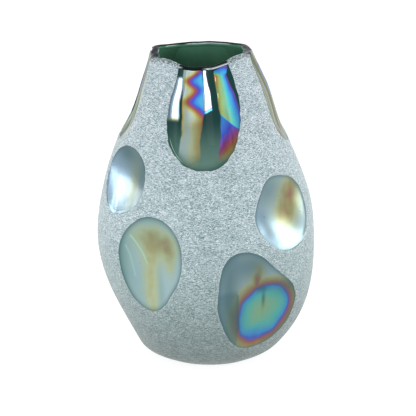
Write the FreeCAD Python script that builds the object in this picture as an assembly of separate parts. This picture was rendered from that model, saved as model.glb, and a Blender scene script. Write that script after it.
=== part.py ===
"""Hand-blown art glass vase, 306 mm tall, in millimetres with +Z up and the origin under the foot.

The vase is one blown vessel of green glass under a thin frosted overlay. Windows through the overlay
show polished, lustred glass: four tongue-shaped panels pressed flat into the neck, which square its
mouth, and nine thumbprint dents pressed into the belly. A fire-polished lip closes the wall's top.
Each layer is a solid of its own, and neighbouring layers meet face to face.

Azimuth 0 is the front, -Y, and 90 the right, +X.
"""

import FreeCAD
import Part
import math
import os

from FreeCAD import Vector

# Driving dimensions
WALL = 5.0  # whole thickness of the vessel's wall
OVERLAY = 1.5  # thickness of the frosted overlay, which is the wall's outer layer
PANEL = 1.8  # thickness of the lustred glass in each window
STEP = 0.5  # how far a panel's edge lies below the overlay's outer face
FLOOR = 14.0  # height of the inside floor, so the foot is thick and heavy
FLOOR_ROUND = 22.0  # radius between the inside floor and the wall
LIP_RADIUS = 2.7  # radius of the fire-polished lip's round section
LIP_SEAT = 1.5  # the wall ends this far below the lip's centreline, and the lip sits in a groove there
PONTIL_RADIUS = 16.0  # the ground and polished hollow under the foot
PONTIL_DEPTH = 1.4

# Height of the lip's centreline in twelve directions, from the front round by the right.
RIM_HEIGHTS = (294.8, 302.5, 303.1, 301.2, 300.7, 297.8, 298.9, 297.0, 298.4, 297.9, 298.7, 298.4)
RIM_REACH = 48.0  # distance from the axis at which the rim has those heights
RIM_LIMIT = 1.25  # beyond this many times that distance the waves grow no more

# The blown body before any dent: height, half width, half depth, and the centre's lean in X and Y.
BODY = (
    (0, 45.0, 45.0, 3.5, 0.0),
    (6, 58.3, 57.0, 2.9, 0.0),
    (18, 71.3, 71.0, 4.2, 0.0),
    (40, 84.6, 86.0, 5.9, 0.0),
    (75, 98.6, 98.0, 3.4, 0.0),
    (118, 105.0, 102.0, 0.0, 0.0),
    (160, 100.5, 98.0, -0.5, 0.0),
    (196, 89.7, 88.0, -2.3, -1.0),
    (232, 76.0, 75.0, -2.7, -2.0),
    (268, 65.0, 64.0, -3.0, -3.0),
    (300, 51.5, 50.5, -5.4, -4.0),
    (314, 46.5, 46.5, -6.4, -4.0),
)
SECTION_POWER = 2.1  # just over 2, so that a section is a circle that is a little square

# Each outline is the dent's radius in twelve directions, from the right round by the top.
ROUND = (35.5, 36.5, 34, 32, 32, 35, 34.5, 31, 31.5, 33, 32.5, 34.5)
WIDE = (38.5, 40, 37, 36, 36, 35, 37, 35, 35, 36, 37.5, 39)
EGG = (34.5, 39.5, 46.5, 48.5, 43, 39.5, 37, 39, 47, 46.5, 36, 33)
PEAR = (41.5, 33, 32, 43.5, 57.5, 50, 47, 50, 55.5, 52.5, 49.5, 47.5)
TONGUE = (35, 43, 67, 80, 57, 41.5, 37.5, 39, 45, 47.5, 41, 35.5)
FLANK = (33, 41, 64, 80, 57, 40, 34, 33.5, 35, 35.5, 34, 32.5)

# Name: azimuth, height of its centre, outline, greatest depth, mirrored.
NECK_PANELS = {
    "neck_panel_front": (1.6, 253.5, TONGUE, 9.5, False),
    "neck_panel_right": (90.0, 250.0, FLANK, 3.0, False),
    "neck_panel_back": (181.0, 252.0, TONGUE, 6.0, True),
    "neck_panel_left": (270.0, 252.0, FLANK, 7.0, True),
}
THUMBPRINTS = {
    "thumbprint_upper_left": (-59.0, 188.0, ROUND, 8.0, False),
    "thumbprint_lower_left": (-31.5, 114.0, EGG, 8.5, False),
    "thumbprint_right": (48.6, 160.0, WIDE, 8.5, False),
    "thumbprint_lower_right": (31.4, 79.0, PEAR, 10.5, False),
    "thumbprint_back_upper_right": (132.0, 178.0, ROUND, 8.0, True),
    "thumbprint_back_lower_right": (118.0, 84.0, EGG, 8.5, True),
    "thumbprint_back_lower": (178.0, 80.0, PEAR, 10.0, True),
    "thumbprint_back_upper_left": (-140.0, 166.0, EGG, 8.5, False),
    "thumbprint_left_lower": (-120.0, 64.0, WIDE, 9.0, False),
}

# The neck panels are fluted: shallow upright ribs across each.
FLUTE_DEPTH = 0.9
FLUTE_PITCH = 31.0

SECTION_POINTS = 36  # points round each loft section
SECTION_HEIGHTS = (0, 3, 7, 12, 18, 26, 36, 50, 70, 94, 118, 140, 160, 180, 200, 222, 244, 266, 288, 314)
CAVITY_HEIGHTS = (14, 15.5, 18, 22, 28, 36, 50, 70, 94, 118, 140, 160, 180, 200, 222, 244, 266, 288, 314)
DISH_GRID = 15  # points each way across a dent's face
DISH_MARGIN = 1.22  # how much larger than its outline a dent's face is made
OUTLINE_POINTS = 36
RIM_GRID = 15  # points each way across the surface that cuts the wall's top
RIM_SPAN = 75.0  # half the width of that surface
LIP_STATIONS = 60  # poles round the mouth
LIP_SIDES = 12  # poles round the lip's section
REACH = 80.0  # length of cutting tools that only have to pass the surface


def natural_spline(knots, values):
    """The function of a smooth curve through (knot, value) points."""
    n = len(knots)
    gap = [knots[i + 1] - knots[i] for i in range(n - 1)]
    slope = [(values[i + 1] - values[i]) / gap[i] for i in range(n - 1)]
    bend = [0.0] * n
    factor = [0.0] * n
    for i in range(1, n - 1):
        pivot = 2 * (gap[i - 1] + gap[i]) - gap[i - 1] * factor[i - 1]
        factor[i] = gap[i] / pivot
        bend[i] = (6 * (slope[i] - slope[i - 1]) - gap[i - 1] * bend[i - 1]) / pivot
    for i in range(n - 2, 0, -1):
        bend[i] -= factor[i] * bend[i + 1]

    def at(x):
        i = max(j for j in range(n - 1) if j == 0 or knots[j] <= x)
        t = x - knots[i]
        linear = slope[i] - gap[i] * (2 * bend[i] + bend[i + 1]) / 6
        return values[i] + t * (linear + t * (bend[i] / 2 + t * (bend[i + 1] - bend[i]) / (6 * gap[i])))

    return at


half_width, half_depth, lean_x, lean_y = (
    natural_spline([row[0] for row in BODY], [row[k] for row in BODY]) for k in (1, 2, 3, 4)
)


def waves(values):
    """The waves through evenly spaced values round a circle: how many to a turn, cosine, sine."""
    n = len(values)
    found = []
    for k in range(n // 2 + 1):
        weight = (1 if k == 0 or 2 * k == n else 2) / n
        cosine = weight * sum(v * math.cos(math.tau * k * i / n) for i, v in enumerate(values))
        sine = weight * sum(v * math.sin(math.tau * k * i / n) for i, v in enumerate(values))
        found.append((k, cosine, sine))
    return found


def wave_height(found, turn, reach=1.0):
    """The waves' sum in a direction, where each fades towards the middle as a stretched skin would."""
    total = 0.0
    for k, cosine, sine in found:
        total += reach**k * (cosine * math.cos(k * turn) + sine * math.sin(k * turn))
    return total


def slant(z):
    """How much longer a step through the wall is when taken level instead of square to it."""
    rise = 1.0
    return math.hypot(1.0, (half_width(z + rise) - half_width(max(z - rise, 0.0))) / (2 * rise))


def body_point(azimuth, z, inset=0.0):
    """A point of the undented body at an azimuth in degrees, level with z, moved in by inset."""
    side = math.sin(math.radians(azimuth))
    front = math.cos(math.radians(azimuth))
    square = (abs(side) ** SECTION_POWER + abs(front) ** SECTION_POWER) ** (-1 / SECTION_POWER)
    return Vector(
        lean_x(z) + (half_width(z) - inset) * square * side,
        lean_y(z) - (half_depth(z) - inset) * square * front,
        z,
    )


def loft(heights, inset):
    """The closed solid through level sections of the body, each moved in by inset(z)."""
    wires = []
    for z in heights:
        turns = (360.0 * i / SECTION_POINTS for i in range(SECTION_POINTS))
        curve = Part.BSplineCurve()
        curve.interpolate(Points=[body_point(turn, z, inset(z)) for turn in turns], PeriodicFlag=True)
        wires.append(Part.Wire(curve.toShape()))
    return Part.makeLoft(wires, True, False)


def cavity_inset(z):
    """The wall's thickness, measured level, which grows into the rounded corner of the floor."""
    up = min(1.0, (z - FLOOR) / FLOOR_ROUND)
    return WALL * slant(z) + FLOOR_ROUND * (1 - math.sqrt(1 - (1 - up) ** 2))


class Dent:
    """A dent pressed into the body: its place, its outline and the shape of its face."""

    def __init__(self, azimuth, height, radii, depth, mirrored, fluted):
        self.azimuth = azimuth
        self.height = height
        self.depth = depth
        self.fluted = fluted
        self.waves = waves([radii[(6 - i) % 12] for i in range(12)] if mirrored else radii)
        self.scale = math.radians(half_width(height))  # mm along the wall for each degree
        self.out = Vector(math.sin(math.radians(azimuth)), -math.cos(math.radians(azimuth)), 0)
        outline = [self.across_and_up(10.0 * i) for i in range(36)]
        self.half_across = max(abs(across) for across, _ in outline)
        self.half_up = max(abs(up) for _, up in outline)

    def outline_radius(self, turn):
        """The outline's distance from the centre in a direction."""
        return wave_height(self.waves, turn)

    def across_and_up(self, degrees):
        turn = math.radians(degrees)
        radius = self.outline_radius(turn)
        return radius * math.cos(turn), radius * math.sin(turn)

    def sink(self, across, up):
        """How far below the undented body the dent's face lies, from STEP at the outline."""
        oval = (across / self.half_across) ** 2 + (up / self.half_up) ** 2
        true = (across * across + up * up) / self.outline_radius(math.atan2(up, across)) ** 2
        spread = oval + (true - oval) * min(1.0, true)  # an oval at the centre, the outline at the edge
        flute = 0.0
        if self.fluted:
            flute = FLUTE_DEPTH * math.cos(math.tau * across / FLUTE_PITCH) * max(0.0, 1 - spread)
        return STEP + self.depth * (1 - spread) + flute

    def face_point(self, across, up, extra):
        z = self.height + up
        inset = self.sink(across, up) + extra * slant(z)
        return body_point(self.azimuth + across / self.scale, z, inset)

    def above(self, extra=0.0):
        """The solid of everything outside the dent's face, moved in by extra."""
        steps = [DISH_MARGIN * (2.0 * i / (DISH_GRID - 1) - 1) for i in range(DISH_GRID)]
        grid = [
            [self.face_point(s * self.half_across, t * self.half_up, extra) for t in steps] for s in steps
        ]
        surface = Part.BSplineSurface()
        surface.interpolate(grid)
        return surface.toShape().extrude(self.out * REACH)

    def wedge(self):
        """The solid inside the outline, whose sides all run level towards the vase's middle."""
        wires = []
        for distance in (0.55, 1.5):
            plane = distance * half_width(self.height)
            points = []
            for i in range(OUTLINE_POINTS):
                across, up = self.across_and_up(360.0 * i / OUTLINE_POINTS)
                turn = math.radians(self.azimuth + across / self.scale)
                ray = Vector(math.sin(turn), -math.cos(turn), 0)
                z = self.height + up
                middle = Vector(lean_x(z), lean_y(z), z)
                points.append(middle + ray * ((plane - middle.dot(self.out)) / ray.dot(self.out)))
            curve = Part.BSplineCurve()
            curve.interpolate(Points=points, PeriodicFlag=True)
            wires.append(Part.Wire(curve.toShape()))
        return Part.makeLoft(wires, True, True)


RIM_WAVES = waves(RIM_HEIGHTS)


def rim_height(x, y):
    """The height of the lip's centreline at a place round the mouth."""
    return wave_height(RIM_WAVES, math.atan2(x, -y), min(math.hypot(x, y) / RIM_REACH, RIM_LIMIT))


def above_wall():
    """The solid of everything over the wall's top, which follows the lip's centreline."""
    steps = [RIM_SPAN * (2.0 * i / (RIM_GRID - 1) - 1) for i in range(RIM_GRID)]
    grid = [[Vector(x, y, rim_height(x, y) - LIP_SEAT) for y in steps] for x in steps]
    surface = Part.BSplineSurface()
    surface.interpolate(grid)
    return surface.toShape().extrude(Vector(0, 0, REACH))


def lip(neck):
    """The fire-polished lip: a round bead along the middle of the wall's top."""
    fullness = 3 / (2 + math.cos(math.tau / LIP_SIDES))  # poles stand outside the curve they make
    poles = []
    for i in range(LIP_STATIONS):
        azimuth = 360.0 * i / LIP_STATIONS
        z = RIM_HEIGHTS[0]
        for _ in range(3):
            sink = max([0.0] + [dent.sink(*near(dent, azimuth, z)) for dent in neck if facing(dent, azimuth)])
            middle = body_point(azimuth, z, sink + WALL / 2 * slant(z))
            z = rim_height(middle.x, middle.y)
        outward = Vector(math.sin(math.radians(azimuth)), -math.cos(math.radians(azimuth)), 0)
        ring = []
        for j in range(LIP_SIDES):
            turn = math.tau * j / LIP_SIDES
            reach = LIP_RADIUS * fullness
            ring.append(middle + outward * (reach * math.cos(turn)) + Vector(0, 0, reach * math.sin(turn)))
        poles.append(ring)
    surface = Part.BSplineSurface()
    surface.buildFromPolesMultsKnots(
        poles,
        [1] * (LIP_STATIONS + 1),
        [1] * (LIP_SIDES + 1),
        list(range(LIP_STATIONS + 1)),
        list(range(LIP_SIDES + 1)),
        True,
        True,
        3,
        3,
    )
    return Part.Solid(Part.Shell([surface.toShape()]))


def near(dent, azimuth, z):
    """A place on the wall as the dent measures it: how far across and up from its centre."""
    turn = (azimuth - dent.azimuth + 180) % 360 - 180
    return turn * dent.scale, z - dent.height


def facing(dent, azimuth):
    return abs((azimuth - dent.azimuth + 180) % 360 - 180) < 45


def pontil_hollow():
    radius = (PONTIL_RADIUS**2 + PONTIL_DEPTH**2) / (2 * PONTIL_DEPTH)
    return Part.makeSphere(radius, Vector(lean_x(0), lean_y(0), PONTIL_DEPTH - radius))


def less(shape, tools):
    """The shape with each tool cut from it in turn."""
    for tool in tools:
        shape = shape.cut(tool)
    return shape


def save(name, shape):
    print(name, "solids", len(shape.Solids), "valid", shape.isValid(), "volume", round(shape.Volume))
    shape.Solids[0].exportStep("parts/%s.step" % name)


def main():
    os.makedirs("parts", exist_ok=True)
    neck = {name: Dent(*spec, True) for name, spec in NECK_PANELS.items()}
    belly = {name: Dent(*spec, False) for name, spec in THUMBPRINTS.items()}
    dents = {**neck, **belly}

    outside = loft(SECTION_HEIGHTS, lambda z: 0.0)
    under_overlay = loft(SECTION_HEIGHTS, lambda z: OVERLAY * slant(z))
    cavity = loft(CAVITY_HEIGHTS, cavity_inset)
    bead = lip(list(neck.values()))
    top = above_wall()

    plugs = {name: dent.wedge().common(dent.above(PANEL)) for name, dent in dents.items()}
    hollow = less(cavity, [dent.above(WALL) for dent in dents.values()])

    save("frosted_overlay", less(outside, [top, under_overlay, bead, *plugs.values()]))
    save("glass_body", less(under_overlay, [top, hollow, bead, pontil_hollow(), *plugs.values()]))
    save("fire_polished_lip", bead)
    for name, dent in dents.items():
        trims = [top, bead] if name in neck else []
        save(name, less(plugs[name], [dent.above(), *trims]))


main()
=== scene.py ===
"""Hand-blown art glass vase: the visible model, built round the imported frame.

The vase's own dimensions are in millimetres, as in the CAD, and meshes are made in metres. Azimuth 0 is
the front, -Y, and 90 the right, +X. A place in a window is (across, up), in millimetres along the wall
from the window's centre.
"""

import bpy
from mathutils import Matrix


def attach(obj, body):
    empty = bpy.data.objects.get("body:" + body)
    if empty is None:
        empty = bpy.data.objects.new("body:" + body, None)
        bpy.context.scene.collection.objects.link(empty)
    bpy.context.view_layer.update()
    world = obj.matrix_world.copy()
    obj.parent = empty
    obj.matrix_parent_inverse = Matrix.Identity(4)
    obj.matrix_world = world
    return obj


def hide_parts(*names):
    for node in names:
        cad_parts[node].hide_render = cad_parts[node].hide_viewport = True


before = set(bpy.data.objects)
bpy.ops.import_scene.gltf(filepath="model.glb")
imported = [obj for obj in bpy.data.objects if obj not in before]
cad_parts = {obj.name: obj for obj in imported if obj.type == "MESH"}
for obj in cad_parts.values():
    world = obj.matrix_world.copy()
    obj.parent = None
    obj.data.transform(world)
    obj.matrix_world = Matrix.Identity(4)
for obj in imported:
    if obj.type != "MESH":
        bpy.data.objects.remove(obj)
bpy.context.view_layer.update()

import math

import bpy
import numpy as np
from mathutils import Vector, noise

MM = 0.001

# The blown body: height, half width, half depth, and the centre's lean in X and Y.
BODY = np.array((
    (0, 45.0, 45.0, 3.5, 0.0),
    (6, 58.3, 57.0, 2.9, 0.0),
    (18, 71.3, 71.0, 4.2, 0.0),
    (40, 84.6, 86.0, 5.9, 0.0),
    (75, 98.6, 98.0, 3.4, 0.0),
    (118, 105.0, 102.0, 0.0, 0.0),
    (160, 100.5, 98.0, -0.5, 0.0),
    (196, 89.7, 88.0, -2.3, -1.0),
    (232, 76.0, 75.0, -2.7, -2.0),
    (268, 65.0, 64.0, -3.0, -3.0),
    (300, 51.5, 50.5, -5.4, -4.0),
    (314, 46.5, 46.5, -6.4, -4.0),
))
SECTION_POWER = 2.1
WALL = 5.0
STEP = 0.5  # how far a window's edge lies below the frosted skin's face
LIP_RADIUS = 2.7
# The rim's height in twelve directions, from the front round by the right.
RIM_HEIGHTS = (294.8, 302.5, 303.1, 301.2, 300.7, 297.8, 298.9, 297.0, 298.4, 297.9, 298.7, 298.4)
RIM_REACH = 48.0  # distance from the axis at which the rim has those heights
RIM_LIMIT = 1.25  # beyond this many times that distance the waves grow no more
# A place that lies on two sloping surfaces is found in rounds, each from the one before.
RIM_ROUNDS = 4
LEVEL_ROUNDS = 30
TUCK_ROUNDS = 12

# Each outline is the window's radius in twelve directions, from the right round by the top.
ROUND = (35.5, 36.5, 34, 32, 32, 35, 34.5, 31, 31.5, 33, 32.5, 34.5)
WIDE = (38.5, 40, 37, 36, 36, 35, 37, 35, 35, 36, 37.5, 39)
EGG = (34.5, 39.5, 46.5, 48.5, 43, 39.5, 37, 39, 47, 46.5, 36, 33)
PEAR = (41.5, 33, 32, 43.5, 57.5, 50, 47, 50, 55.5, 52.5, 49.5, 47.5)
TONGUE = (35, 43, 67, 80, 57, 41.5, 37.5, 39, 45, 47.5, 41, 35.5)
FLANK = (33, 41, 64, 80, 57, 40, 34, 33.5, 35, 35.5, 34, 32.5)
FLUTE_DEPTH = 0.9
FLUTE_PITCH = 31.0
RAGGED_NECK = 0.03
RAGGED_PRINT = 0.015


def natural_spline(knots, values):
    """The function of a smooth curve through (knot, value) points."""
    n = len(knots)
    gap = np.diff(knots)
    slope = np.diff(values) / gap
    rows = np.eye(n)
    right = np.zeros(n)
    for i in range(1, n - 1):
        rows[i, i - 1:i + 2] = gap[i - 1], 2 * (gap[i - 1] + gap[i]), gap[i]
        right[i] = 6 * (slope[i] - slope[i - 1])
    bend = np.linalg.solve(rows, right)

    def at(x):
        i = np.clip(np.searchsorted(knots, x, side="right") - 1, 0, n - 2)
        t = x - knots[i]
        start = slope[i] - gap[i] * (2 * bend[i] + bend[i + 1]) / 6
        return values[i] + t * (start + t * (bend[i] / 2 + t * (bend[i + 1] - bend[i]) / (6 * gap[i])))

    return at


half_width, half_depth, lean_x, lean_y = (natural_spline(BODY[:, 0], BODY[:, k]) for k in (1, 2, 3, 4))


def slant(z):
    """How much longer a step through the wall is when taken level instead of square to it."""
    return np.hypot(1.0, (half_width(z + 1.0) - half_width(np.maximum(z - 1.0, 0.0))) / 2)


def body_point(azimuth, z, inset=0.0):
    """Points of the undented body, in millimetres, moved in by inset."""
    side, front = np.sin(np.radians(azimuth)), np.cos(np.radians(azimuth))
    square = (np.abs(side) ** SECTION_POWER + np.abs(front) ** SECTION_POWER) ** (-1 / SECTION_POWER)
    return np.stack((
        lean_x(z) + (half_width(z) - inset) * square * side,
        lean_y(z) - (half_depth(z) - inset) * square * front,
        z + 0 * side,
    ), axis=-1)


def waves(values):
    """The waves through evenly spaced values round a circle: how many to a turn, cosine, sine."""
    n = len(values)
    turns = math.tau * np.arange(n) / n
    found = []
    for k in range(n // 2 + 1):
        weight = (1 if k == 0 or 2 * k == n else 2) / n
        cosine = weight * np.dot(values, np.cos(k * turns))
        sine = weight * np.dot(values, np.sin(k * turns))
        found.append((k, cosine, sine))
    return found


def wave_height(found, turn, reach=1.0):
    """The waves' sum in a direction, where each fades towards the middle as a stretched skin would."""
    return sum(reach**k * (cosine * np.cos(k * turn) + sine * np.sin(k * turn)) for k, cosine, sine in found)


RIM_WAVES = waves(RIM_HEIGHTS)


def rim_height(x, y):
    return wave_height(RIM_WAVES, np.arctan2(x, -y), np.minimum(np.hypot(x, y) / RIM_REACH, RIM_LIMIT))


class Window:
    """A dent pressed through the frosted skin: its place, its outline and the shape of its face."""

    def __init__(self, node, azimuth, height, radii, depth, mirrored=False, like=None):
        self.node = node
        self.azimuth = azimuth
        self.height = height
        self.depth = depth
        self.neck = node.startswith("neck")
        self.like = like or node  # the window whose film and folds this one's follow
        flank = node in ("neck_panel_right", "neck_panel_left")
        self.side = -1 if mirrored != flank else 1  # the flanks' lustre is thickest towards the front
        self.seed = len(node)
        if mirrored:
            radii = [radii[(6 - i) % 12] for i in range(12)]
        self.waves = waves(radii)
        self.scale = math.radians(float(half_width(height)))
        across, up = self.outline(np.radians(np.arange(0, 360, 10)))
        self.half_across = np.abs(across).max()
        self.half_up = np.abs(up).max()

    def outline(self, turn, share=1.0):
        """The place in a direction at a share of the way to the outline."""
        radius = wave_height(self.waves, turn) * share
        return radius * np.cos(turn), radius * np.sin(turn)

    def local(self, azimuth, z):
        """Where a place on the wall is, as this window measures it."""
        turn = (azimuth - self.azimuth + 180) % 360 - 180
        return turn * self.scale, z - self.height

    def share(self, across, up):
        """0 at the centre, 1 on the outline."""
        return np.hypot(across, up) / wave_height(self.waves, np.arctan2(up, across))

    def cut(self, turn):
        """The share of the way to the outline where the skin's slightly ragged edge ends."""
        ragged = np.sin(4 * turn + self.seed) + 0.6 * np.sin(11 * turn + 2 * self.seed)
        ragged = ragged + 0.5 * np.sin(23 * turn)
        return 1 - (RAGGED_NECK if self.neck else RAGGED_PRINT) * np.clip(0.4 + 0.4 * ragged, 0, 1)

    def bared(self, across, up):
        """Under 1 where the skin is cut away."""
        return self.share(across, up) / self.cut(np.arctan2(up, across))

    def sink(self, across, up):
        """How far below the undented body the window's face lies, from STEP at the outline."""
        true = self.share(across, up) ** 2
        oval = (across / self.half_across) ** 2 + (up / self.half_up) ** 2
        spread = oval + (true - oval) * np.minimum(1.0, true)
        flute = 0.0
        if self.neck:
            flute = FLUTE_DEPTH * np.cos(math.tau * across / FLUTE_PITCH) * np.maximum(0.0, 1 - spread)
        return STEP + self.depth * (1 - spread) + flute


WINDOWS = [
    Window("neck_panel_front", 1.6, 253.5, TONGUE, 9.5),
    Window("neck_panel_right", 90.0, 250.0, FLANK, 3.0),
    Window("neck_panel_back", 181.0, 252.0, TONGUE, 6.0, True),
    Window("neck_panel_left", 270.0, 252.0, FLANK, 7.0, True, "neck_panel_right"),
    Window("thumbprint_upper_left", -59.0, 188.0, ROUND, 8.0),
    Window("thumbprint_lower_left", -31.5, 114.0, EGG, 8.5),
    Window("thumbprint_right", 48.6, 160.0, WIDE, 8.5),
    Window("thumbprint_lower_right", 31.4, 79.0, PEAR, 10.5),
    Window("thumbprint_back_upper_right", 132.0, 178.0, ROUND, 8.0, True, "thumbprint_right"),
    Window("thumbprint_back_lower_right", 118.0, 84.0, EGG, 8.5, True, "thumbprint_lower_left"),
    Window("thumbprint_back_lower", 178.0, 80.0, PEAR, 10.0, True, "thumbprint_lower_right"),
    Window("thumbprint_back_upper_left", -140.0, 166.0, EGG, 8.5, False, "thumbprint_upper_left"),
    Window("thumbprint_left_lower", -120.0, 64.0, WIDE, 9.0, False, "thumbprint_right"),
]
NECK = [window for window in WINDOWS if window.neck]
NECK_SECTOR = 45  # degrees on each side of a neck panel's middle that it sinks the wall in


def neck_sink(azimuth, z):
    """How far the neck panels sink the wall at a place."""
    deepest = 0.0 * azimuth
    for window in NECK:
        across, up = window.local(azimuth, z)
        facing = np.abs(across / window.scale) < NECK_SECTOR
        deepest = np.where(facing, np.maximum(deepest, window.sink(across, up)), deepest)
    return deepest


def rim_middle(azimuth):
    """The lip's centreline: its points, and how far each lies inside the undented body."""
    z = np.full(azimuth.shape, RIM_HEIGHTS[0])
    for _ in range(RIM_ROUNDS):
        inset = neck_sink(azimuth, z) + WALL / 2 * slant(z)
        middle = body_point(azimuth, z, inset)
        z = rim_height(middle[:, 0], middle[:, 1])
    return middle, inset


RIM_AZIMUTHS = np.arange(0, 361, 1.0)  # the rim's height is read between these
RIM_Z = rim_middle(RIM_AZIMUTHS)[0][:, 2]


def rim_z(azimuth):
    return np.interp(azimuth % 360, RIM_AZIMUTHS, RIM_Z)


# ---------------------------------------------------------------- meshes


def smooth_step(value, low, high):
    """0 up to low, 1 from high on, and smooth between them."""
    t = np.clip((value - low) / (high - low), 0, 1)
    return t * t * (3 - 2 * t)


def bump_at(points, size, seed):
    """Smooth noise from -1 to 1 at points in millimetres, with lumps of that size (one number or three)."""
    scaled = points / np.broadcast_to(size, 3) + seed * 17.3
    return np.array([noise.noise(Vector(p)) for p in scaled.reshape(-1, 3)]).reshape(points.shape[:-1])


def make_mesh(name, points, faces, slot, nodes, **values):
    """A piece from points in millimetres, with float attributes for its material to read."""
    mesh = bpy.data.meshes.new(name)
    mesh.from_pydata((points * MM).tolist(), [], faces)
    for key, value in values.items():
        mesh.attributes.new(key, "FLOAT", "POINT").data.foreach_set("value", np.asarray(value, np.float32))
    mesh.polygons.foreach_set("use_smooth", [True] * len(mesh.polygons))
    mesh.update()
    piece = bpy.data.objects.new(name, mesh)
    bpy.context.scene.collection.objects.link(piece)
    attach(piece, "root")
    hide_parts(*nodes)
    return piece


# ---------------------------------------------------------------- frosted skin

SKIN_COLUMNS = 480
SKIN_ROWS = 220
SKIN_CAP_ROWS = 9  # rows that turn over the lip
SKIN_OVER_LIP = 0.3
SKIN_TOP = 1.2  # the rows below the lip end this far under its centreline
SKIN_GRAIN = 0.08  # height of the crackled grain
SKIN_EDGE = 2.2  # how far from a window the skin starts to round down to it
HAND_WORK = 0.35  # height of the wall's slow unevenness
WINDOW_REACH = (70, 95)  # every window lies within this of its centre, across and up
FAR = 50.0  # stands for any distance from a window that is too long to matter
NECK_SNAP = 15.0  # above this height over a neck panel's centre, points are moved to its outline level


def skin_rows(azimuth, top):
    """The skin's rows up the wall and over the lip: height, inset, and the height that windows measure."""
    rows = []
    for share in np.linspace(0, 1, SKIN_ROWS):
        z = (top - SKIN_TOP) * (share * share * (3 - 2 * share) * 0.15 + share * 0.85)
        rows.append((z, 0 * z, z))
    front = np.cos(np.radians(azimuth))
    # Degrees that the skin turns over the lip: most at the front, some at the back, least at the sides.
    cap = 5 + 115 * smooth_step(front, 0.30, 0.62) + 30 * smooth_step(-front, 0.3, 0.6)
    reach = LIP_RADIUS + SKIN_OVER_LIP
    for j in range(1, SKIN_CAP_ROWS + 1):
        turn = np.radians(cap * j / SKIN_CAP_ROWS)
        z = top + reach * np.sin(turn)
        narrowing = half_width(top) - half_width(z)  # of the wall, which the round lip doesn't share
        rows.append((z, WALL / 2 * slant(top) - reach * np.cos(turn) - narrowing, top + 0.5 * j))
    return (np.array([row[k] for row in rows]) for k in range(3))


def to_outline(window, across, up):
    """Places moved to a window's outline: straight out from its centre, or level near a neck panel's top."""
    turn = np.arctan2(up, across)
    out_across, out_up = window.outline(turn, window.cut(turn))
    if window.neck:
        level = across.copy()
        for _ in range(LEVEL_ROUNDS):
            level = level / window.bared(level, up)
        high = up > NECK_SNAP
        out_across = np.where(high, level, out_across)
        out_up = np.where(high, up, out_up)
    return out_across, out_up


def window_owners(azimuths, heights):
    """The index of the window that cuts the skin away at each place, or -1."""
    owner = np.full(azimuths.shape, -1)
    for index, window in enumerate(WINDOWS):
        across, up = window.local(azimuths, heights)
        near = (np.abs(across) < WINDOW_REACH[0]) & (np.abs(up) < WINDOW_REACH[1])
        owner[near & (window.bared(across, up) < 1)] = index
    return owner


def kept_faces(inside):
    """Which faces of a closed grid aren't wholly in a window, and which points they use."""
    corners = np.stack([inside, np.roll(inside, -1, 1)], -1)
    kept = ~(corners[:-1].all(-1) & corners[1:].all(-1))
    used = np.zeros(inside.shape, bool)
    for row in (0, 1):
        for column in (0, 1):
            used[row:len(kept) + row] |= np.roll(kept, column, 1)
    return kept, used


def grid_faces(kept):
    """The corners of a grid's kept faces, where the last column joins the first."""
    rows, columns = kept.shape
    number = np.arange((rows + 1) * columns).reshape(rows + 1, columns)
    faces = []
    for row, column in zip(*np.nonzero(kept)):
        following = (column + 1) % columns
        low, high = number[row], number[row + 1]
        faces.append((low[column], low[following], high[following], high[column]))
    return np.array(faces)


def edge_and_dent(azimuths, heights):
    """How far each place is from the nearest window's edge, and how far the dents sink the skin there."""
    distance = np.full(azimuths.shape, FAR)
    dent = np.zeros(azimuths.shape)
    for window in WINDOWS:
        across, up = window.local(azimuths, heights)
        near = (np.abs(across) < WINDOW_REACH[0] + 5) & (np.abs(up) < WINDOW_REACH[1] + 5)
        gap = np.where(near, (window.bared(across, up) - 1) * np.hypot(across, up), FAR)
        distance = np.minimum(distance, np.maximum(gap, 0))
        within = near & (window.share(across, up) < 1)
        dent = np.where(within, np.maximum(dent, window.sink(across, up) - STEP), dent)
    return distance, dent


def frosted_skin():
    """The frosted overlay's outer face, with its crackle, rounded down to each window and over the lip."""
    azimuth = np.arange(SKIN_COLUMNS) * 360.0 / SKIN_COLUMNS
    top = rim_z(azimuth)
    z, inset, flat_z = skin_rows(azimuth, top)
    azimuths = np.broadcast_to(azimuth, z.shape).copy()

    owner = window_owners(azimuths, flat_z)
    kept, used = kept_faces(owner >= 0)
    snapped = (owner >= 0) & used
    for index, window in enumerate(WINDOWS):
        mine = snapped & (owner == index)
        across, up = window.local(azimuths[mine], flat_z[mine])
        across, out_up = to_outline(window, across, up)
        azimuths[mine] = window.azimuth + across / window.scale
        z[mine] += out_up - up
        flat_z[mine] += out_up - up

    distance, dent = edge_and_dent(azimuths, flat_z)
    distance[snapped] = 0
    edge = np.clip(1 - distance / SKIN_EDGE, 0, 1)
    swell = 0.2 * np.exp(-((distance - 3.2) / 1.8) ** 2)  # a low ridge round each window
    inset = inset + dent + STEP * (1 - np.sqrt(1 - edge**2)) - swell

    points = body_point(azimuths, z, inset)
    threads = bump_at(points, (3.6, 3.6, 1.9), 1)
    crackle = bump_at(points, (1.9, 1.9, 1.4), 2)
    hand = bump_at(points, 38.0, 3)
    grain = SKIN_GRAIN * (0.65 * threads + 0.6 * crackle) * (1 - edge) * smooth_step(z, 0.5, 4)
    below_rim = np.minimum(z - top, 0)
    calm = smooth_step(z, 2, 20) * smooth_step(-below_rim, 0, 15) * (1 - edge)
    points = body_point(azimuths, z, inset - grain - HAND_WORK * hand * calm)

    faces = grid_faces(kept)
    keep = np.unique(faces)
    renumber = np.zeros(z.size, int)
    renumber[keep] = np.arange(len(keep))
    values = {
        "edge": np.exp(-(distance.ravel()[keep] / 1.5) ** 2),
        "rim": np.exp(below_rim.ravel()[keep] / 5.0),
    }
    points = points.reshape(-1, 3)[keep]
    faces = renumber[faces].tolist()
    return make_mesh("frosted_skin", points, faces, "frosted_glass", ["frosted_overlay"], **values)


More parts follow.
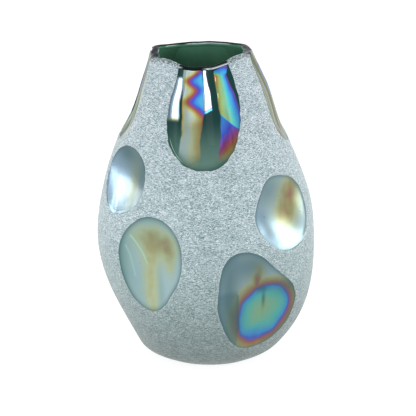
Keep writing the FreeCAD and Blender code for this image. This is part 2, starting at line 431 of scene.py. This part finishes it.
# ---------------------------------------------------------------- windows

GLASS = 1.8  # thickness of a window's lustred glass
NECK_TUCK = 0.4  # how far under the lip's centreline a neck panel ends
NECK_GRID = 150  # points along each side of a neck panel's grid
PRINT_GRID = 84  # the same for a thumbprint


def squircle(size):
    """A square grid bent to a disc: the direction and the distance from the middle of each point."""
    u, v = np.meshgrid(np.linspace(-1, 1, size), np.linspace(-1, 1, size), indexing="ij")
    x, y = u * np.sqrt(1 - v * v / 2), v * np.sqrt(1 - u * u / 2)
    return np.arctan2(y, x), np.minimum(np.hypot(x, y), 1.0)


def rim_share(window, turn):
    """The share of the way to a neck panel's outline at which the rim cuts it."""
    share = np.ones(turn.shape)
    for _ in range(TUCK_ROUNDS):
        across, up = window.outline(turn, share)
        room = rim_z(window.azimuth + across / window.scale) - NECK_TUCK - window.height
        share = np.where(up > room, share * np.maximum(room / np.maximum(up, 1e-3), 0.2), share)
    return share


def plate_faces(size):
    """The faces of a closed plate from two square grids of points, the front's and then the back's."""
    number = np.arange(size * size).reshape(size, size)
    behind = size * size
    faces = []
    for i in range(size - 1):
        for j in range(size - 1):
            quad = (number[i, j], number[i + 1, j], number[i + 1, j + 1], number[i, j + 1])
            faces.append(quad)
            faces.append(tuple(behind + k for k in reversed(quad)))
    ring = list(number[:, 0]) + list(number[-1, 1:]) + list(number[-2::-1, -1]) + list(number[0, -2:0:-1])
    for a, b in zip(ring, ring[1:] + ring[:1]):
        faces.append((b, a, a + behind, b + behind))
    return faces


def window_piece(window, size, shape, film):
    """One window of lustred glass: a closed plate whose face follows the dent, with its hand-worked shape."""
    turn, share = squircle(size)
    if window.neck:
        share = share * rim_share(window, turn)
    across, up = window.outline(turn, share)
    azimuth = window.azimuth + across / window.scale
    z = window.height + up
    edge = window.share(across, up)
    sink = window.sink(across, up)
    rough = body_point(azimuth, z, sink)
    work = shape(window, across * window.side, up, rough) * (1 - smooth_step(edge, 0.90, 1.0))
    front = body_point(azimuth, z, sink - work)
    back = body_point(azimuth, z, sink - work + GLASS * slant(z))
    points = np.concatenate((front.reshape(-1, 3), back.reshape(-1, 3)))
    values = film(window, across * window.side, up, rough)
    values["border"] = np.clip(edge, 0, 1)
    values = {key: np.tile(np.ravel(value), 2) for key, value in values.items()}
    slot = "neck_lustre" if window.neck else "print_lustre"
    return make_mesh(window.node + "_glass", points, plate_faces(size), slot, [window.node], **values)


def blob(across, up, x, y, wide, tall, tilt=0.0):
    """1 at (x, y), falling off smoothly over an oval."""
    cosine, sine = math.cos(math.radians(tilt)), math.sin(math.radians(tilt))
    a, b = across - x, up - y
    return np.exp(-(((a * cosine + b * sine) / wide) ** 2 + ((b * cosine - a * sine) / tall) ** 2))


def band(value, low, high, soft):
    """1 between two values, falling off softly at each."""
    return smooth_step(value, low - soft, low + soft) * (1 - smooth_step(value, high - soft, high + soft))


def thread(across, up, start, end, wide):
    """1 along a straight line between two places, falling off over a width."""
    (x0, y0), (x1, y1) = start, end
    along = ((across - x0) * (x1 - x0) + (up - y0) * (y1 - y0)) / ((x1 - x0) ** 2 + (y1 - y0) ** 2)
    along = np.clip(along, 0, 1)
    return np.exp(-((across - x0 - along * (x1 - x0)) ** 2 + (up - y0 - along * (y1 - y0)) ** 2) / wide**2)


# The neck's folds: how far across each crease lies, and how high the glass stands there.
FOLDS = ((-38, 0.0), (-35.8, -2.0), (-26.6, 1.8), (-24.0, -0.3), (-12, 0.25), (0.2, -0.3), (8.8, 0.9),
         (15.5, -1.4), (25, 0.2), (35, 0.1), (38, 0.0))


def neck_wander(window, up, points):
    """How far the neck's folds wander sideways on their way up."""
    seed = window.seed - 16
    steady = points.copy()
    steady[..., :2] = seed * 31.0
    return 1.0 * bump_at(steady, 15, seed) + 0.9 * np.sin((up + 9 * seed) / 13.0)


def neck_lean(across, up):
    """How far the folds left of the wide band lean in towards the mouth."""
    return 2.6 * smooth_step(up, 8, 36) * smooth_step(-across, 15, 21)


def neck_shape(window, across, up, points):
    """Uneven upright folds, left by the tool that squeezed the neck."""
    place = across + neck_wander(window, up, points) - neck_lean(across, up)
    creases, heights = zip(*FOLDS)
    fold = sum(np.interp(place + shift, creases, heights) for shift in (-0.7, -0.35, 0, 0.35, 0.7)) / 5
    depth = 0.25 + 0.75 * smooth_step(up, -34, -2)
    low_edge = smooth_step(window.share(across, up), 0.7, 0.9) * smooth_step(-up, 0, 10)
    fold = fold * depth + 0.22 * bump_at(points, 13, window.seed + 2)
    return np.where(fold < 0, fold * (1 - low_edge), fold)  # no hollow fold cuts into the lower edge


# Where the wide band of lustre turns from amber to blue, at heights over the window's centre.
ZIGZAG = natural_spline(
    np.array((-4, 1, 6.5, 13.7, 24, 33.5, 39, 46)),
    np.array((1, -3, -9, -17, -9, -16.5, -6, -2)),
)


def wide_band(x, up):
    """The wide band left of the middle: how full its lustre is, and its film's thickness."""
    waist = 2.0 * np.exp(-(((up + 20) / 12) ** 2))
    right_edge = 0.4 - 0.09 * np.maximum(-up, 0) - 2.2 * smooth_step(-up, -8, 4) - waist
    lustre = band(x, -23.8, right_edge, 0.6)
    lustre = lustre * smooth_step(up - 0.05 * (x + 12) ** 2, -46, -32) * (1 - 0.45 * smooth_step(-up, -4, 12))
    past = x - ZIGZAG(np.clip(up, -4, 46))
    upper = np.interp(past, (-12, -7, -3, 0, 3, 7, 12), (0.05, 0.12, 0.23, 0.36, 0.45, 0.51, 0.58))
    lower = np.interp(x, (-24, -16, -11, -6, -2), (0.04, 0.07, 0.14, 0.21, 0.31))
    fade = smooth_step(up, -8, 4)
    film = fade * upper + (1 - fade) * lower
    film = film + 0.13 * np.exp(-np.maximum(x + 23.5, 0) / 1.6) * band(up, -18, 14, 6)
    return lustre, film


def right_band(x, up):
    """The band of changing colours at the right: how full its lustre is, and its film's thickness."""
    right_edge = np.interp(up, (-20, 6, 18, 38, 44), (40, 36.5, 35, 30.5, 33))
    left_edge = np.interp(up, (-38, -20, 0, 44), (9, 14.5, 17, 16))
    lustre = band(x, left_edge, right_edge, 0.7) * smooth_step(up, -42, -26)
    share = (x - left_edge) / (right_edge - left_edge)
    above = np.interp(share, (0, 0.2, 0.42, 0.62, 0.82, 1), (0.80, 0.75, 0.70, 0.62, 0.52, 0.40))
    above = above + np.interp(up, (24, 32, 36), (0, 0.06, 0.09)) * (1 - share)
    crown = smooth_step(up, 36, 40.5)
    above = (1 - crown) * above + crown * np.interp(up, (40, 43, 46), (0.56, 0.49, 0.38))
    past_slant = ((x - 13) - (up + 29.5)) / math.sqrt(2)
    under = np.interp(past_slant, (-14, -6, 0, 3, 6, 10, 16), (0.52, 0.45, 0.37, 0.28, 0.19, 0.10, 0.03))
    over = smooth_step(up - 2 + 0.92 * (x - 17), -1.0, 1.0)  # over the slanting break in the colours
    return lustre, over * above + (1 - over) * under


def neck_film(window, across, up, points):
    """Upright bands of lustre between bare dark glass, and the film's thickness in each."""
    x = across + neck_wander(window, up, points) + 0.5 * bump_at(points, 6, window.seed + 4)
    streak = band(x - neck_lean(across, up), -37.5, -26.2, 0.4)
    streak = streak * smooth_step(up, -5, 1.5) * (1 - smooth_step(up, 34, 37))
    slash = 0.5 * (x - 4)  # the second streak ends on a slant, and widens on its way down
    widens = smooth_step(-up, -38, -14)
    second = band(x, 1.6 - 2.0 * widens, 5.4 + 3.4 * widens, 0.5) * smooth_step(up - slash, 3.0, 4.5)
    silver = np.maximum(streak, second)
    wide, wide_film = wide_band(x, up)
    right, right_film = right_band(x, up)
    film = np.where(right > wide, right_film, wide_film)
    film = film * (1 - silver) + 0.015 * silver + 0.6 * band(up - slash, 3.2, 6.2, 0.8) * second
    lustre = np.maximum(np.maximum(wide, right), silver)
    glow = smooth_step(-up, 0, 44)
    flank = window.like == "neck_panel_right"
    if flank:  # bronze and violet, and softer
        thick = np.interp(x, (2, 9, 14, 19, 25, 33), (0.05, 0.12, 0.20, 0.37, 0.20, 0.10))
        front = smooth_step(x, 2, 9)
        film = film * (1 - front) + thick * (0.6 if window.node == "neck_panel_left" else 1.0) * front
        lustre = 0.4 * lustre * (1 - front) + 0.28 * front
        glow = np.maximum(glow, 0.8 * front)
    return {"film": film, "lustre": lustre, "glow": glow, "satin": np.full(across.shape, float(flank))}


# Clouds in the thumbprints' film: place, half width, half height, tilt, and how much thicker it is there.
CLOUDS = {
    "thumbprint_upper_left": ((18, 0, 9, 22, 0, 0.12), (8, 18, 12, 8, 0, 0.03)),
    "thumbprint_lower_left": ((5, 25, 22, 11, -8, 0.15), (18, 20, 4, 8, 0, 0.08), (-4, -20, 9, 38, -4, 0.09),
                              (22, 8, 6, 15, 0, 0.08), (4, 10, 16, 14, 0, 0.05)),
    "thumbprint_right": ((16, 10, 14, 24, -34, 0.17), (22, 18, 6, 9, -30, 0.05), (6, -4, 14, 8, -30, 0.07),
                         (-26, -14, 10, 22, 20, -0.03)),
    "thumbprint_lower_right": ((-2, 18, 4.5, 15, 0, 0.17), (-8, 14, 8, 16, -20, 0.09),
                               (20, 8, 20, 5, 35, 0.10)),
}
# Where the thumbprints' lustre is thin and the green glass shows, or, with a minus, where it is fuller:
# place, half width, half height, tilt, share.
BARE = {
    "thumbprint_upper_left": ((-4, 26, 36, 18, 0, 0.9), (30, 4, 15, 34, 0, 0.85), (12, 8, 16, 24, 0, 0.4),
                              (16, -22, 14, 14, 0, 0.5)),
    "thumbprint_lower_left": ((-37, 2, 10, 50, 0, 0.8), (0, 50, 30, 8, 0, 0.5), (8, -24, 4, 26, 0, 0.25),
                              (-4, -28, 8, 32, -4, -0.45), (18, -18, 14, 22, 0, -0.3),
                              (0, 8, 20, 14, 0, -0.2)),
    "thumbprint_right": ((-16, 24, 24, 18, 0, 0.55), (-22, -14, 9, 20, 24, 0.7), (34, 24, 8, 16, 0, 0.3)),
    "thumbprint_lower_right": ((-34, 2, 12, 60, 0, 0.7), (-10, 36, 26, 20, 0, 0.65), (34, 12, 16, 12, 0, 0.6),
                               (6.3, -2, 2.2, 9, 0, 0.8), (4, 9, 8, 3.5, 0, 0.7), (10, -54, 40, 8, 0, -0.6)),
}
# The pool of thick film in the pear-shaped windows: its oval's middle and half sizes, the share of the way to
# the outline that it also keeps within, and the film's thickness at shares of the way across it.
POOL = (14.0, -24.0, 40.0, 36.0)
POOL_WITHIN = 0.84
POOL_RINGS = ((0, 0.73), (0.35, 0.715), (0.6, 0.695), (0.8, 0.65), (0.9, 0.595), (0.96, 0.525), (1.0, 0.43),
              (1.04, 0.34), (1.09, 0.26), (1.17, 0.19), (1.3, 0.10), (1.5, 0.0))


def pool_film(window, across, up, wobble):
    """The pool's film, thickest in the middle, from its own rings of colour out to none."""
    px, py, wide, tall = POOL
    x = across * window.side
    oval = np.hypot((x - px) / wide, (up - py) / tall)
    within = window.share(across, up) / POOL_WITHIN
    ring = (oval**8 + within**8) ** (1 / 8) + 0.04 * wobble
    rings, thickness = zip(*POOL_RINGS)
    film = np.interp(ring, rings, thickness)
    return film + (0.03 * blob(x, up, 2, -10, 14, 9) - 0.11 * blob(x, up, -4, -38, 14, 8)) * (ring < 0.97)


# The threads of glass across the egg-shaped windows: the places that each runs through.
BRIGHT_THREAD = ((-23, 26), (-16, 18), (-10, 9), (-6, 0))
FAINT_THREAD = ((-29, 15), (-25, 7), (-22.5, -4), (-21, -14))


def glass_threads(across, up, wide):
    """1 along the two threads of glass; the second is broad and faint."""
    runs = [thread(across, up, a, b, wide) for a, b in zip(BRIGHT_THREAD, BRIGHT_THREAD[1:])]
    runs += [0.5 * thread(across, up, a, b, 2 * wide) for a, b in zip(FAINT_THREAD, FAINT_THREAD[1:])]
    return np.max(runs, axis=0)


def print_shape(window, across, up, points):
    """Slow unevenness, the soft creases where the tool let go, and a deeper middle."""
    work = 0.4 * bump_at(points, 30, window.seed + 7)
    if window.like == "thumbprint_upper_left":
        work = work - 0.15 * thread(across, up, (-6, -20), (4.6, -34), 3.0)
    elif window.like == "thumbprint_lower_left":
        work = work + 0.4 * glass_threads(across, up, 0.8)
        work = work - 0.3 * thread(across, up, (-6, 0), (-7, -44), 3.0)
    elif window.like == "thumbprint_right":
        work = work - 0.5 * blob(across, up, 4, -8, 22, 18) + 1.2 * blob(across, up, 28, -8, 12, 18)
    else:
        work = work + 0.6 * thread(across, up, (-24.5, 8), (-24.5, -32), 1.6)
    return work


def print_film(window, across, up, points):
    """A pearl film with soft amber clouds; the pear-shaped windows hold a pool of thick film."""
    film = 0.0 if window.like == "thumbprint_upper_left" else 0.025
    film = film + 0.012 * (1 + bump_at(points, 14, window.seed + 3))
    uneven = 1 + 0.3 * bump_at(points, 7, window.seed)
    for x, y, wide, tall, tilt, more in CLOUDS[window.like]:
        film = film + more * blob(across, up, x, y, wide, tall, tilt) * uneven
    lustre = np.ones(across.shape)
    for x, y, wide, tall, tilt, less in BARE[window.like]:
        lustre = lustre * (1 - less * blob(across, up, x, y, wide, tall, tilt))
    if window.like == "thumbprint_lower_right":
        pool = pool_film(window, across * window.side, up, bump_at(points, 11, window.seed + 2))
        film = np.maximum(film, pool)
        lustre = lustre * (1 - 0.22 * smooth_step(pool, 0.5, 0.6))
        lustre = lustre * (1 - 0.45 * smooth_step(-across, 23.5, 26.5) * smooth_step(14 - up, 0, 8))
        lustre = lustre * (1 - 0.6 * thread(across, up, (-24.5, 6), (-24.5, -30), 1.3))
    glow = 0 * across
    if window.like == "thumbprint_lower_left":
        glow = np.maximum(glass_threads(across, up, 0.75), 0.2)
    satin = np.full(across.shape, 0.0 if window.like == "thumbprint_upper_left" else 1.0)
    return {"film": film, "lustre": lustre * (1 - 0.8 * glow), "glow": glow, "satin": satin}


# ---------------------------------------------------------------- lip

LIP_COLUMNS = 300
LIP_SIDES = 24
LIP_FULLER = 2.6  # how much further in the lip reaches at the mouth's sides


def lip_piece():
    """The fire-polished lip, fuller where the mouth's sides are, with painted highlights along its top."""
    azimuth = np.arange(LIP_COLUMNS) * 360.0 / LIP_COLUMNS
    middle, inset = rim_middle(azimuth)
    reach = LIP_RADIUS + 0.12 * bump_at(middle, 20, 5)
    front = np.cos(np.radians(azimuth))
    side = smooth_step(np.abs(np.sin(np.radians(azimuth))), 0.75, 0.97)
    broken = smooth_step(bump_at(middle, 16, 9), -0.1, 0.25)
    points, inner, painted_highlight = [], [], []
    for j in range(LIP_SIDES):
        turn = math.tau * j / LIP_SIDES
        inward = LIP_FULLER * side * max(0.0, -math.cos(turn))
        ring = body_point(azimuth, middle[:, 2], inset - reach * math.cos(turn) + inward)
        ring[:, 2] += reach * math.sin(turn)
        points.append(ring)
        under = smooth_step(turn, 2.8, 3.2) * smooth_step(-math.cos(turn), 0.2, 0.5)
        inner.append(np.maximum(smooth_step(-math.cos(turn) + 0 * azimuth, 0.75, 0.98), under))
        # Painted highlights: broken near-white metal lines on the lip's inner top at the back and outer top
        # at the front, standing in for lamp glints.
        back_painted_highlight = 0.8 * math.exp(-(math.degrees(turn) - 150) ** 2 / 60) * smooth_step(-front, 0.1, 0.5)
        front_painted_highlight = math.exp(-(math.degrees(turn) - 18) ** 2 / 150) * smooth_step(front, 0.6, 0.9)
        painted_highlight.append((back_painted_highlight + front_painted_highlight) * broken)
    points = np.stack(points, 1).reshape(-1, 3)
    faces = []
    for i in range(LIP_COLUMNS):
        here, there = i * LIP_SIDES, (i + 1) % LIP_COLUMNS * LIP_SIDES
        for j in range(LIP_SIDES):
            k = (j + 1) % LIP_SIDES
            faces.append((here + j, there + j, there + k, here + k))
    values = {
        "side": np.repeat(side, LIP_SIDES),
        "inner": np.stack(inner, 1).ravel(),
        "painted_highlight": np.stack(painted_highlight, 1).ravel(),
    }
    return make_mesh("lip_bead", points, faces, "lip_glass", ["fire_polished_lip"], **values)


# ---------------------------------------------------------------- materials


def linear(red, green, blue):
    """A colour given from 0 to 255 as it looks on a screen, as the shader's own numbers."""
    shares = (c / 255 for c in (red, green, blue))
    return tuple(((c + 0.055) / 1.055) ** 2.4 if c > 0.04 else c / 12.92 for c in shares) + (1,)


class Nodes:
    """Short calls for building one material."""

    def __init__(self, name):
        self.material = bpy.data.materials.new(name)
        self.material.use_nodes = True
        self.tree = self.material.node_tree
        self.tree.nodes.clear()
        self.shader = self.add("ShaderNodeBsdfPrincipled")
        out = self.add("ShaderNodeOutputMaterial")
        self.tree.links.new(self.shader.outputs[0], out.inputs["Surface"])

    def add(self, kind, **settings):
        node = self.tree.nodes.new(kind)
        for key, value in settings.items():
            setattr(node, key, value)
        return node

    def put(self, node, key, value):
        if isinstance(value, bpy.types.NodeSocket):
            self.tree.links.new(value, node.inputs[key])
        else:
            node.inputs[key].default_value = value

    def surface(self, **inputs):
        for key, value in inputs.items():
            self.put(self.shader, key.replace("_", " "), value)

    def value(self, name):
        """A value that the mesh carries at its points."""
        return self.add("ShaderNodeAttribute", attribute_name=name).outputs["Fac"]

    def math(self, operation, a, b=0.0):
        node = self.add("ShaderNodeMath", operation=operation)
        self.put(node, 0, a)
        self.put(node, 1, b)
        return node.outputs[0]

    def place(self, stretch=(1, 1, 1)):
        """Object coordinates in millimetres, stretched."""
        node = self.add("ShaderNodeMapping")
        self.put(node, "Vector", self.add("ShaderNodeTexCoord").outputs["Object"])
        self.put(node, "Scale", tuple(s / MM for s in stretch))
        return node.outputs[0]

    def height(self, low, high):
        """0 at one height in millimetres, 1 at the other."""
        split = self.add("ShaderNodeSeparateXYZ")
        self.put(split, 0, self.place())
        scale = self.add("ShaderNodeMapRange")
        self.put(scale, "Value", split.outputs["Z"])
        self.put(scale, "From Min", low)
        self.put(scale, "From Max", high)
        return scale.outputs["Result"]

    def noise(self, place, size, detail=2.0, roughness=0.5):
        node = self.add("ShaderNodeTexNoise")
        self.put(node, "Vector", place)
        self.put(node, "Scale", 1.0 / size)
        self.put(node, "Detail", detail)
        self.put(node, "Roughness", roughness)
        return node.outputs["Fac"]

    def ramp(self, value, stops):
        """Colours, or greys given as one number, at places from 0 to 1."""
        node = self.add("ShaderNodeValToRGB")
        ramp = node.color_ramp
        while len(ramp.elements) < len(stops):
            ramp.elements.new(0.5)
        for element, (place, colour) in zip(ramp.elements, stops):
            element.position = place
            element.color = colour if isinstance(colour, tuple) else (colour, colour, colour, 1)
        self.put(node, "Fac", value)
        return node.outputs[0]

    def mix(self, share, a, b, blend="MIX"):
        node = self.add("ShaderNodeMix", data_type="RGBA", blend_type=blend)
        for key, value in (("Factor", share), ("A", a), ("B", b)):
            sockets = [s for s in node.inputs if s.name == key and (key == "Factor" or s.type == "RGBA")]
            if isinstance(value, bpy.types.NodeSocket):
                self.tree.links.new(value, sockets[0])
            else:
                sockets[0].default_value = value
        return next(s for s in node.outputs if s.type == "RGBA")

    def bump(self, height, strength, distance):
        node = self.add("ShaderNodeBump")
        self.put(node, "Height", height)
        self.put(node, "Strength", strength)
        self.put(node, "Distance", distance)
        self.put(self.shader, "Normal", node.outputs[0])


# The colours of a thickening film, as on a soap bubble or hot steel.
FILM = (
    (0.00, linear(156, 186, 222)),
    (0.04, linear(172, 196, 204)),
    (0.10, linear(188, 194, 150)),
    (0.18, linear(168, 152, 82)),
    (0.27, linear(158, 92, 52)),
    (0.37, linear(140, 62, 120)),
    (0.46, linear(58, 78, 196)),
    (0.56, linear(60, 160, 226)),
    (0.66, linear(92, 202, 190)),
    (0.76, linear(168, 196, 118)),
    (0.86, linear(188, 128, 66)),
    (1.00, linear(150, 90, 130)),
)


def frosted_material():
    n = Nodes("frosted_glass")
    threads = n.noise(n.place((0.24, 0.24, 1.3)), 0.66, 2.0, 0.6)
    specks = n.noise(n.place(), 0.6, 1.0)
    clouds = n.noise(n.place((1.0, 1.0, 1.6)), 15.0, 3.0)
    grain = n.math("ADD", n.math("MULTIPLY", threads, 0.5), n.math("MULTIPLY", specks, 0.5))
    grain = n.math("ADD", grain, n.math("MULTIPLY", n.math("SUBTRACT", clouds, 0.5), 0.07))
    colour = n.ramp(grain, (
        (0.37, linear(66, 92, 94)),
        (0.455, linear(134, 158, 161)),
        (0.54, linear(184, 204, 208)),
        (0.63, linear(242, 252, 255)),
    ))
    for hair, bright in ((5.0, linear(240, 246, 248)), (7.5, linear(106, 128, 128))):
        off = n.math("ABSOLUTE", n.math("SUBTRACT", n.noise(n.place((0.7, 0.7, 1.3)), hair, 1.0), 0.5))
        colour = n.mix(n.ramp(off, ((0.0, 0.6), (0.018, 0.0))), colour, bright)
    # Painted shade: the frost is darker towards the bottom, where less light falls on it, and lightest high
    # up.
    height = n.height(0, 306)
    colour = n.mix(1.0, colour, n.ramp(height, (
        (0.03, linear(148, 156, 151)),
        (0.15, linear(178, 184, 182)),
        (0.30, linear(218, 222, 221)),
        (0.48, linear(243, 244, 246)),
        (0.85, linear(242, 240, 244)),
    )), "MULTIPLY")
    colour = n.mix(n.math("MULTIPLY", n.value("edge"), 0.2), colour, linear(196, 208, 210))
    speckle = n.math("GREATER_THAN", n.math("MULTIPLY", n.value("rim"), n.noise(n.place(), 1.5, 2.0)), 0.46)
    colour = n.mix(n.math("MULTIPLY", speckle, 0.7), colour, linear(40, 52, 50))
    n.surface(Base_Color=colour, Roughness=0.55, IOR=1.5, Sheen_Weight=0.2, Sheen_Roughness=0.45)
    n.bump(grain, 1.0, 0.0008)
    return n.material


def lustre_material(name, bare, glowing, rough, metal, cover, coat_rough, ior):
    """Lustred glass: a thin film over a metal-bright skin, and bare glass where the skin is worn away."""
    n = Nodes(name)
    streaks = n.noise(n.place((1.0, 1.0, 0.22)), 4.5, 3.0, 0.6)
    film = n.math("ADD", n.value("film"), n.math("MULTIPLY", n.math("SUBTRACT", streaks, 0.5), 0.06))
    lustre = n.math("MULTIPLY", n.value("lustre"), cover)
    glass = n.mix(n.value("glow"), bare, glowing)
    colour = n.mix(lustre, glass, n.ramp(film, FILM))
    border = n.ramp(n.value("border"), ((0.86, 0.0), (0.93, 0.4), (0.97, 1.0)))
    colour = n.mix(n.math("MULTIPLY", border, 0.6), colour, bare)
    n.surface(Base_Color=colour, Metallic=n.math("MULTIPLY", lustre, metal), IOR=ior)
    uneven = n.ramp(n.noise(n.place(), 9.0, 3.0), ((0.3, rough[0]), (0.7, rough[1])))
    n.surface(Roughness=n.math("ADD", uneven, n.math("MULTIPLY", n.value("satin"), 0.12)))
    n.surface(Coat_Weight=n.math("MULTIPLY", lustre, 0.5), Coat_Roughness=coat_rough, Coat_IOR=1.5)
    n.bump(n.noise(n.place(), 7.0, 2.0), 0.1, 0.0005)
    return n.material


def green_material():
    n = Nodes("green_glass")
    depth = n.noise(n.place((1.0, 1.0, 0.3)), 22.0, 3.0)
    colour = n.ramp(depth, ((0.3, linear(80, 136, 110)), (0.7, linear(98, 154, 126))))
    n.surface(Base_Color=colour, Roughness=0.12, IOR=1.45, Coat_Weight=0.3, Coat_Roughness=0.05)
    n.bump(n.noise(n.place((1, 1, 0.4)), 18.0, 2.0), 0.2, 0.001)
    return n.material


def lip_material():
    n = Nodes("lip_glass")
    streak = n.noise(n.place(), 9.0, 2.0)
    colour = n.ramp(streak, ((0.35, linear(10, 22, 20)), (0.65, linear(22, 36, 34))))
    colour = n.mix(n.math("MULTIPLY", n.value("side"), 0.8), colour, linear(32, 36, 47))
    colour = n.mix(n.value("inner"), colour, linear(78, 132, 106))
    # Painted highlight: near-white metal along the lines that lip_piece marks as lamp glints.
    colour = n.mix(n.value("painted_highlight"), colour, linear(216, 226, 232))
    n.surface(Base_Color=colour, Metallic=n.value("painted_highlight"), Roughness=0.12, IOR=1.12)
    n.surface(Specular_IOR_Level=0.3)
    n.bump(n.noise(n.place(), 11.0, 2.0), 0.1, 0.0005)
    return n.material


# ---------------------------------------------------------------- the pieces

skin = frosted_skin()
skin.data.materials.append(frosted_material())

neck_glass = lustre_material(
    "neck_lustre", bare=linear(23, 57, 55), glowing=linear(84, 116, 106), rough=(0.03, 0.07),
    metal=0.9, cover=1.0, coat_rough=0.04, ior=1.15)
print_glass = lustre_material(
    "print_lustre", bare=linear(46, 84, 88), glowing=linear(160, 214, 192), rough=(0.15, 0.23),
    metal=0.8, cover=0.55, coat_rough=0.25, ior=1.3)
for window in WINDOWS:
    if window.neck:
        piece = window_piece(window, NECK_GRID, neck_shape, neck_film)
        piece.data.materials.append(neck_glass)
    else:
        piece = window_piece(window, PRINT_GRID, print_shape, print_film)
        piece.data.materials.append(print_glass)

lip_piece().data.materials.append(lip_material())

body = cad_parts["glass_body"]
body.data.materials.clear()
body.data.materials.append(green_material())

# ---------------------------------------------------------------- stage, light and camera


def stage_material():
    n = Nodes("floor")
    n.surface(Base_Color=linear(130, 130, 130), Roughness=0.9)
    n.surface(Emission_Color=(1, 1, 1, 1), Emission_Strength=0.88)
    return n.material


FLOOR_SIZE = 8.0
bpy.ops.mesh.primitive_plane_add(size=FLOOR_SIZE, location=(0, 0, 0))
floor = bpy.context.object
floor.name = "floor"
floor.data.materials.append(stage_material())

LIGHTS_AIM = Vector((0, 0, 0.17))
LIGHTS = (  # name, azimuth, elevation, distance, width, height, power
    ("top", 0, 80, 1.6, 1.2, 1.2, 8),
    ("front_left", -34, 15, 1.9, 0.9, 1.1, 9),
    ("left", -114, 8, 1.8, 0.32, 0.5, 5.2),
    ("right", 98, 12, 1.8, 0.5, 0.56, 11),
)


def direction_to(azimuth, elevation):
    """The direction, of length 1, from the vase to an azimuth and elevation."""
    turn, rise = math.radians(azimuth), math.radians(elevation)
    return Vector((math.sin(turn) * math.cos(rise), -math.cos(turn) * math.cos(rise), math.sin(rise)))


def softbox(name, azimuth, elevation, distance, width, height, power):
    """An area light turned to the vase."""
    light = bpy.data.lights.new(name, "AREA")
    light.shape = "RECTANGLE"
    light.size, light.size_y = width, height
    light.energy = power
    lamp = bpy.data.objects.new(name, light)
    bpy.context.scene.collection.objects.link(lamp)
    out = direction_to(azimuth, elevation)
    lamp.location = LIGHTS_AIM + out * distance
    lamp.rotation_euler = out.to_track_quat("Z", "Y").to_euler()


for light in LIGHTS:
    softbox(*light)


ROOM = ((0.0, 0.5), (0.4, 0.74), (0.7, 0.7), (1.0, 1.0))  # its brightness from the front, 0, to the back, 1
GLOW = 0.6
GLOW_AT = (15, 20)  # azimuth and elevation
GLOW_EDGE = (0.82, 0.99)  # cosines of the angles at which the glow starts and is full


def studio_world():
    """A white backdrop; the room that the glass reflects is darker in front, but for a soft glow there."""
    world = bpy.data.worlds.new("studio")
    bpy.context.scene.world = world
    world.use_nodes = True
    tree = world.node_tree

    def add(kind, settings, **inputs):
        """A new node's outputs; an input is given by its name, or by its number after a _."""
        node = tree.nodes.new(kind)
        for key, value in settings.items():
            setattr(node, key, value)
        for key, value in inputs.items():
            socket = node.inputs[int(key[1:])] if key[1:].isdigit() else node.inputs[key.replace("_", " ")]
            if isinstance(value, bpy.types.NodeSocket):
                tree.links.new(value, socket)
            else:
                socket.default_value = value
        return node.outputs

    direction = add("ShaderNodeTexCoord", {})["Generated"]
    back = add("ShaderNodeSeparateXYZ", {}, _0=direction)["Y"]
    share = add("ShaderNodeMapRange", {}, Value=back, From_Min=-1.0, From_Max=1.0)["Result"]
    room = tree.nodes.new("ShaderNodeValToRGB")
    tree.links.new(share, room.inputs[0])
    stops = room.color_ramp.elements
    while len(stops) < len(ROOM):
        stops.new(0.5)
    for stop, (place, level) in zip(stops, ROOM):
        stop.position = place
        stop.color = (level, level, level, 1)
    towards = direction_to(*GLOW_AT)
    near = add("ShaderNodeVectorMath", {"operation": "DOT_PRODUCT"}, _0=direction, _1=towards)["Value"]
    low, high = GLOW_EDGE
    glow = add("ShaderNodeMapRange", {"interpolation_type": "SMOOTHSTEP"},
               Value=near, From_Min=low, From_Max=high, To_Max=GLOW)["Result"]
    lit = add("ShaderNodeMath", {"operation": "ADD"}, _0=room.outputs[0], _1=glow)[0]
    seen = add("ShaderNodeLightPath", {})["Is Camera Ray"]
    strength = add("ShaderNodeMix", {"data_type": "FLOAT"}, _0=seen, _2=lit, _3=1.0)[0]
    background = tree.nodes["Background"]
    background.inputs["Color"].default_value = (1, 1, 1, 1)
    tree.links.new(strength, background.inputs["Strength"])


studio_world()

IMAGE_SIZE = 416
CAMERA_DISTANCE = 3.0
CAMERA_ELEVATION = 17.0
CAMERA_TARGET = Vector((0, 0, 0.150))
CAMERA_LENS = 268.2
CAMERA_SENSOR = 36.0
camera = bpy.data.objects.new("camera", bpy.data.cameras.new("camera"))
bpy.context.scene.collection.objects.link(camera)
camera.data.sensor_width = CAMERA_SENSOR
camera.data.lens = CAMERA_LENS
camera.data.shift_x = 2 / IMAGE_SIZE
camera.data.shift_y = -5 / IMAGE_SIZE
tilt = math.radians(CAMERA_ELEVATION)
camera.location = CAMERA_TARGET + Vector((0, -math.cos(tilt), math.sin(tilt))) * CAMERA_DISTANCE
camera.rotation_euler = (math.radians(90) - tilt, 0, 0)
bpy.context.scene.camera = camera
bpy.context.scene.view_settings.view_transform = "Standard"
